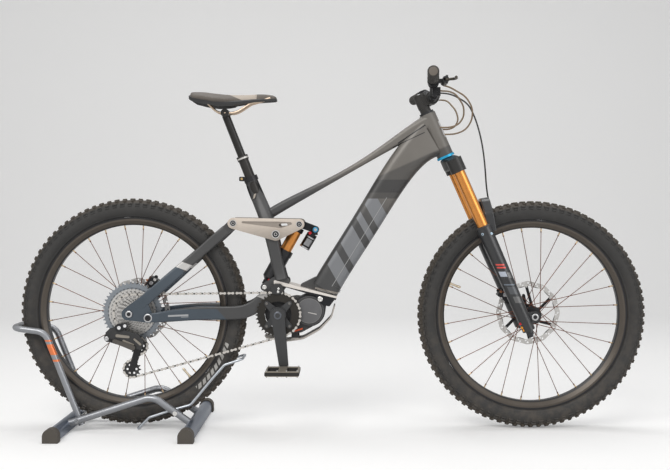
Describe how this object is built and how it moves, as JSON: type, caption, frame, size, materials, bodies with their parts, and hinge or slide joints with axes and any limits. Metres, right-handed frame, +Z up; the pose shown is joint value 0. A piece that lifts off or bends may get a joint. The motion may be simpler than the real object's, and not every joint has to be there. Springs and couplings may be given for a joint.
{
  "type": "bicycle on stand",
  "caption": "Full-suspension electric mountain bicycle held upright by a rear-wheel display stand with folding hoop and tipping cradle.",
  "frame": {"origin": "on the floor, midway between the front tyre's and the stand hoop's far ends, in the bicycle's middle plane", "axes": "+X points the way the bicycle rides, +Y to its left, +Z up"},
  "size_m": [1.9859, 0.7768, 1.0843],
  "materials": {
    "frame_paint": "satin dark anthracite paint",
    "battery_cover": "satin dark anthracite with a lighter panel",
    "motor_black": "matt black casting with a grey moulded cover",
    "bracket_silver": "satin silver",
    "guard_grey": "matt light grey",
    "black_metal": "satin black anodised",
    "chain_steel": "bright plated",
    "cassette_steel": "satin nickel",
    "swingarm_paint": "satin anthracite, blue-grey towards the axle",
    "rocker_champagne": "satin champagne",
    "bolt_steel": "machined",
    "gold_tube": "gloss gold-orange coating",
    "rotor_steel": "brushed",
    "tyre_rubber": "matt",
    "rim_black": "satin black",
    "spoke_dark": "dark bronze",
    "hub_black": "satin black",
    "grip_rubber": "matt",
    "saddle_cover": "matt dark synthetic leather",
    "rail_champagne": "satin champagne",
    "headset_ring": "satin cyan ring on black cups",
    "stand_steel": "metallic gunmetal lacquer",
    "cradle_steel": "pale zinc",
    "cap_rubber": "matt brown-black",
    "hose_black": "satin black"
  },
  "bodies": {
    "stand": {"foot_bars": "stand_steel", "foot_end_caps": "cap_rubber", "side_tubes": "stand_steel", "stand_bolts": "bolt_steel"},
    "rear_hoop": {"rear_hoop": "stand_steel"},
    "wheel_cradle": {"wheel_cradle": "cradle_steel"},
    "frame": {"main_frame": "frame_paint", "battery_pack": "battery_cover", "motor_bracket": "bracket_silver", "drive_unit": "motor_black", "bash_guard": "guard_grey", "seat_clamp": "black_metal", "seatpost_outer": "black_metal", "headset": "headset_ring", "chain": "chain_steel", "control_cables": "hose_black"},
    "swingarm": {"chain_stays": "swingarm_paint"},
    "seatstays": {"seat_stays": "swingarm_paint", "rear_axle": "black_metal", "rear_caliper": "black_metal", "derailleur_body": "black_metal"},
    "rocker": {"rocker_link": "rocker_champagne", "pivot_bolts": "bolt_steel"},
    "shock_can": {"shock_can": "black_metal"},
    "shock_body": {"shock_body": "gold_tube"},
    "rear_wheel": {"rear_tyre": "tyre_rubber", "rear_rim": "rim_black", "rear_spokes": "spoke_dark", "rear_hub": "hub_black", "rear_rotor": "rotor_steel"},
    "cassette": {"cassette": "cassette_steel"},
    "derailleur_cage": {"derailleur_cage": "black_metal"},
    "guide_pulley": {"guide_pulley": "black_metal"},
    "tension_pulley": {"tension_pulley": "black_metal"},
    "crank": {"crank_arms": "black_metal", "chainring": "black_metal"},
    "right_pedal": {"right_pedal": "black_metal"},
    "left_pedal": {"left_pedal": "black_metal"},
    "cockpit": {"fork_crown": "black_metal", "stanchions": "gold_tube", "stem": "black_metal", "handlebar": "black_metal", "grips": "grip_rubber", "bar_controls": "black_metal", "front_brake_hose": "hose_black"},
    "right_brake_lever": {"right_brake_lever": "bolt_steel"},
    "left_brake_lever": {"left_brake_lever": "bolt_steel"},
    "shift_lever": {"shift_lever": "black_metal"},
    "dropper_lever": {"dropper_lever": "black_metal"},
    "fork_lowers": {"fork_lowers": "black_metal", "front_axle": "black_metal", "front_caliper": "black_metal"},
    "front_wheel": {"front_tyre": "tyre_rubber", "front_rim": "rim_black", "front_spokes": "spoke_dark", "front_hub": "hub_black", "front_rotor": "rotor_steel"},
    "saddle": {"seatpost_inner": "black_metal", "saddle_rails": "rail_champagne", "saddle": "saddle_cover"}
  },
  "joints": [
    {"name": "bike_lift", "type": "slide", "parent": "stand", "child": "frame", "axis": [0, 0, 1], "range_m": [0, 0.35]},
    {"name": "cradle_tilt", "type": "hinge", "parent": "stand", "child": "wheel_cradle", "pos_m": [-0.483, 0, 0.05973], "axis": [0, 1, 0], "range_deg": [0, 30]},
    {"name": "hoop_fold", "type": "hinge", "parent": "stand", "child": "rear_hoop", "pos_m": [-0.787, 0, 0.03474], "axis": [0, -1, 0], "range_deg": [0, 40]},
    {"name": "steering", "type": "hinge", "parent": "frame", "child": "cockpit", "pos_m": [0.35663, 0, 0.8516], "axis": [-0.4067, 0, 0.9136], "range_deg": [-60, 60], "deforming": ["control_cables", "front_brake_hose"]},
    {"name": "fork_travel", "type": "slide", "parent": "cockpit", "child": "fork_lowers", "axis": [-0.4067, 0, 0.9136], "range_m": [0, 0.15], "stiffness_N_per_m": 5000, "springref_m": -0.05, "deforming": ["front_brake_hose"]},
    {"name": "front_wheel_spin", "type": "hinge", "parent": "fork_lowers", "child": "front_wheel", "pos_m": [0.625, 0, 0.357], "axis": [0, 1, 0], "continuous": true},
    {"name": "suspension", "type": "hinge", "parent": "frame", "child": "swingarm", "pos_m": [-0.168, 0, 0.436], "axis": [0, 1, 0], "range_deg": [0, 18], "stiffness_Nm_per_rad": 600, "springref_deg": -11.46, "deforming": ["chain"]},
    {"name": "rocker_swing", "type": "hinge", "parent": "frame", "child": "rocker", "pos_m": [-0.174, 0, 0.611], "axis": [0, 1, 0], "range_deg": [-1, 37]},
    {"name": "stay_swing", "type": "hinge", "parent": "swingarm", "child": "seatstays", "pos_m": [-0.565, 0, 0.354], "axis": [0, 1, 0], "range_deg": [-8, 1]},
    {"name": "shock_can_swing", "type": "hinge", "parent": "frame", "child": "shock_can", "pos_m": [-0.211, 0, 0.445], "axis": [0, 1, 0], "range_deg": [-1, 9.5]},
    {"name": "shock_body_swing", "type": "hinge", "parent": "rocker", "child": "shock_body", "pos_m": [-0.101, 0, 0.642], "axis": [0, 1, 0], "range_deg": [-28, 1]},
    {"name": "rear_wheel_spin", "type": "hinge", "parent": "seatstays", "child": "rear_wheel", "pos_m": [-0.625, 0, 0.3654], "axis": [0, 1, 0], "continuous": true},
    {"name": "crank_spin", "type": "hinge", "parent": "frame", "child": "crank", "pos_m": [-0.167, 0, 0.361], "axis": [0, 1, 0], "continuous": true, "deforming": ["chain"]},
    {"name": "cassette_spin", "type": "hinge", "parent": "seatstays", "child": "cassette", "pos_m": [-0.625, 0, 0.3654], "axis": [0, 1, 0], "continuous": true},
    {"name": "cage_swing", "type": "hinge", "parent": "seatstays", "child": "derailleur_cage", "pos_m": [-0.603, -0.042, 0.2614], "axis": [0, 1, 0], "range_deg": [-30, 20], "stiffness_Nm_per_rad": 3, "deforming": ["chain"]},
    {"name": "guide_pulley_spin", "type": "hinge", "parent": "derailleur_cage", "child": "guide_pulley", "pos_m": [-0.603, -0.042, 0.2614], "axis": [0, 1, 0], "continuous": true},
    {"name": "tension_pulley_spin", "type": "hinge", "parent": "derailleur_cage", "child": "tension_pulley", "pos_m": [-0.62545, -0.042, 0.18879], "axis": [0, 1, 0], "continuous": true},
    {"name": "right_pedal_spin", "type": "hinge", "parent": "crank", "child": "right_pedal", "pos_m": [-0.14804, -0.12, 0.19709], "axis": [0, 1, 0], "continuous": true},
    {"name": "left_pedal_spin", "type": "hinge", "parent": "crank", "child": "left_pedal", "pos_m": [-0.18596, 0.12, 0.52491], "axis": [0, 1, 0], "continuous": true},
    {"name": "dropper", "type": "slide", "parent": "frame", "child": "saddle", "axis": [-0.3657, 0, 0.9307], "range_m": [-0.125, 0], "stiffness_N_per_m": 60, "springref_m": 0.5},
    {"name": "right_brake", "type": "hinge", "parent": "cockpit", "child": "right_brake_lever", "pos_m": [0.3365, -0.222, 1.06633], "axis": [0, 0, -1], "range_deg": [0, 22], "stiffness_Nm_per_rad": 1.5, "springref_deg": -8.59},
    {"name": "left_brake", "type": "hinge", "parent": "cockpit", "child": "left_brake_lever", "pos_m": [0.3365, 0.222, 1.06633], "axis": [0, 0, 1], "range_deg": [0, 22], "stiffness_Nm_per_rad": 1.5, "springref_deg": -8.59},
    {"name": "shift", "type": "hinge", "parent": "cockpit", "child": "shift_lever", "pos_m": [0.31362, -0.165, 1.03956], "axis": [0, -1, 0], "range_deg": [0, 25], "stiffness_Nm_per_rad": 0.5, "springref_deg": -5.73},
    {"name": "dropper_remote", "type": "hinge", "parent": "cockpit", "child": "dropper_lever", "pos_m": [0.31362, 0.165, 1.03956], "axis": [0, -1, 0], "range_deg": [0, 25], "stiffness_Nm_per_rad": 0.5, "springref_deg": -5.73}
  ],
  "couplings": [
    {"joint": "cradle_tilt", "follows": "bike_lift", "rad_per_m": 1.495},
    {"joint": "rocker_swing", "follows": "suspension", "ratio": 1.9984},
    {"joint": "stay_swing", "follows": "suspension", "ratio": -0.406},
    {"joint": "shock_can_swing", "follows": "suspension", "ratio": 0.4933},
    {"joint": "shock_body_swing", "follows": "suspension", "ratio": -1.5051},
    {"joint": "cassette_spin", "follows": "crank_spin", "ratio": 1.2143},
    {"joint": "guide_pulley_spin", "follows": "crank_spin", "ratio": -2.6154},
    {"joint": "tension_pulley_spin", "follows": "crank_spin", "ratio": 2.6154}
  ]
}
